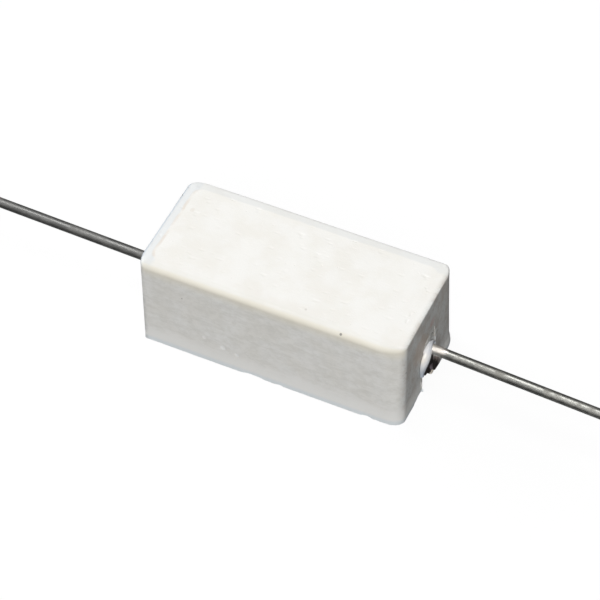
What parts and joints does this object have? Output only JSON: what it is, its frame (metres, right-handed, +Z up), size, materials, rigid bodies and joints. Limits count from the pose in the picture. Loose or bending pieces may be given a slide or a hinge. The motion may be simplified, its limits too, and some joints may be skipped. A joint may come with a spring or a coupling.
{
  "type": "wire-wound resistor",
  "caption": "Axial wire-wound power resistor: a white ceramic trough filled with cement round a wound ceramic rod, with a tinned wire lead out of each end.",
  "frame": {"origin": "middle of the underside of the case, on the surface that it lies on", "axes": "+X along the leads towards the end with the cement bead, +Z up through the closed top of the case"},
  "size_m": [0.092, 0.01, 0.0086],
  "materials": {
    "case_ceramic": "unglazed white ceramic, fine grained and slightly warm, with faint drag marks on the sides",
    "potting_cement": "cast white silica cement, matt and pitted, with a smooth bead at the right lead",
    "rod_ceramic": "matt fired ceramic",
    "resistance_wire": "oxidised drawn resistance alloy",
    "cap_steel": "drawn steel, darkened by heat",
    "lead_wire": "tinned wire, satin, with fine draw lines and dull grey patches"
  },
  "bodies": {
    "root": {"ceramic_case": "case_ceramic", "cement_filling": "potting_cement", "core_rod": "rod_ceramic", "resistance_winding": "resistance_wire", "end_cap_left": "cap_steel", "end_cap_right": "cap_steel", "lead_left": "lead_wire", "lead_right": "lead_wire"}
  },
  "joints": []
}
